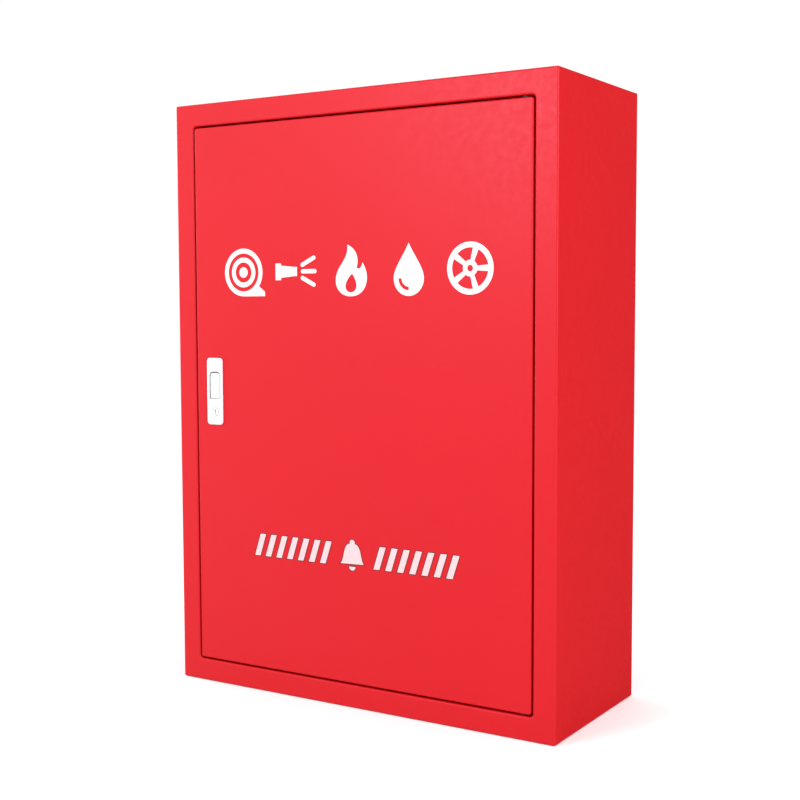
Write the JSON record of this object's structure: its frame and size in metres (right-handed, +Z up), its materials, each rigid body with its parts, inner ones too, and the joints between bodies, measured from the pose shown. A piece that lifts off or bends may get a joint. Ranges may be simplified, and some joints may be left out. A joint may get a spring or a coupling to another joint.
{
  "type": "standpipe cabinet",
  "caption": "Surface-mounted red steel fire hydrant cabinet with a flush lockable door, angle valve, hose rack and stored nozzle.",
  "frame": {"origin": "centre of the footprint on the surface that the cabinet stands on", "axes": "+Z up; the door faces -Y; +X to the right as seen from the front"},
  "size_m": [0.58, 0.242, 0.8],
  "materials": {
    "red_powder_coat": "semi-gloss",
    "zinc_plated_steel": "satin",
    "satin_chrome": "satin",
    "brass": "machined",
    "cast_aluminium": "cast and turned",
    "red_cast_iron": "painted casting",
    "black_rubber": "matt",
    "nylon": "matt",
    "white_ink": "smooth"
  },
  "bodies": {
    "root": {"left_panel": "red_powder_coat", "right_panel": "red_powder_coat", "top_panel": "red_powder_coat", "bottom_panel": "red_powder_coat", "back_panel": "red_powder_coat", "hinge_bracket_top": "zinc_plated_steel", "hinge_bracket_bottom": "zinc_plated_steel", "hinge_pin_top": "red_powder_coat", "hinge_pin_bottom": "red_powder_coat", "door_stop_upper": "zinc_plated_steel", "door_stop_lower": "zinc_plated_steel", "stop_pad_upper": "black_rubber", "stop_pad_lower": "black_rubber", "pipe_grommet": "black_rubber", "spare_entry_plug": "black_rubber", "inlet_nipple": "zinc_plated_steel", "valve_body": "red_cast_iron", "valve_bonnet": "red_cast_iron", "gland_nut": "brass", "outlet_coupling": "cast_aluminium", "outlet_gasket": "black_rubber", "rack_backplate": "red_powder_coat", "rack_screw_1": "zinc_plated_steel", "rack_screw_2": "zinc_plated_steel", "rack_arm_left": "zinc_plated_steel", "rack_arm_right": "zinc_plated_steel", "rack_tie_bar": "zinc_plated_steel", "nozzle_coupling": "cast_aluminium", "nozzle_barrel": "cast_aluminium", "nozzle_tip": "brass", "nozzle_clip_lower": "zinc_plated_steel", "nozzle_clip_upper": "zinc_plated_steel"},
    "door": {"door_panel": "red_powder_coat", "door_stiffener": "red_powder_coat", "hinge_bush_top": "nylon", "hinge_bush_bottom": "nylon", "lock_housing": "satin_chrome", "paddle_pin": "zinc_plated_steel", "lock_strap_upper": "zinc_plated_steel", "lock_strap_lower": "zinc_plated_steel", "lock_screw_upper": "zinc_plated_steel", "lock_screw_lower": "zinc_plated_steel", "latch_case": "zinc_plated_steel", "latch_spring": "zinc_plated_steel", "key_barrel": "satin_chrome", "barrel_nut": "zinc_plated_steel", "mark_upper": "white_ink", "mark_lower": "white_ink"},
    "paddle": {"lock_paddle": "satin_chrome"},
    "latch": {"latch_bolt": "brass"},
    "key_cam": {"key_plug": "satin_chrome", "lock_cam": "zinc_plated_steel", "cam_screw": "zinc_plated_steel"},
    "valve_lift": {"valve_disc": "brass", "disc_seal": "black_rubber"},
    "wheel": {"valve_stem": "brass", "handwheel": "red_cast_iron", "wheel_nut": "zinc_plated_steel"}
  },
  "joints": [
    {"name": "door_swing", "type": "hinge", "parent": "root", "child": "door", "pos_m": [0.2455, -0.113, 0.4], "axis": [0, 0, 1], "range_deg": [0, 120]},
    {"name": "paddle_pull", "type": "hinge", "parent": "door", "child": "paddle", "pos_m": [-0.2255, -0.118, 0.4003], "axis": [1, 0, 0], "range_deg": [0, 38], "stiffness_Nm_per_rad": 0.05},
    {"name": "latch_slide", "type": "slide", "parent": "door", "child": "latch", "axis": [1, 0, 0], "range_m": [0, 0.008], "deforming": ["latch_spring"]},
    {"name": "key_turn", "type": "hinge", "parent": "door", "child": "key_cam", "pos_m": [-0.2255, -0.113, 0.3795], "axis": [0, 1, 0], "range_deg": [0, 90]},
    {"name": "valve_rise", "type": "slide", "parent": "root", "child": "valve_lift", "axis": [0, 0, 1], "range_m": [0, 0.018]},
    {"name": "wheel_turn", "type": "hinge", "parent": "valve_lift", "child": "wheel", "pos_m": [-0.15, 0.0195, 0.222], "axis": [0, 0, 1], "range_deg": [0, 1080]}
  ],
  "couplings": [
    {"joint": "latch_slide", "follows": "paddle_pull", "m_per_rad": 0.012},
    {"joint": "valve_rise", "follows": "wheel_turn", "m_per_rad": 0.00095492}
  ]
}
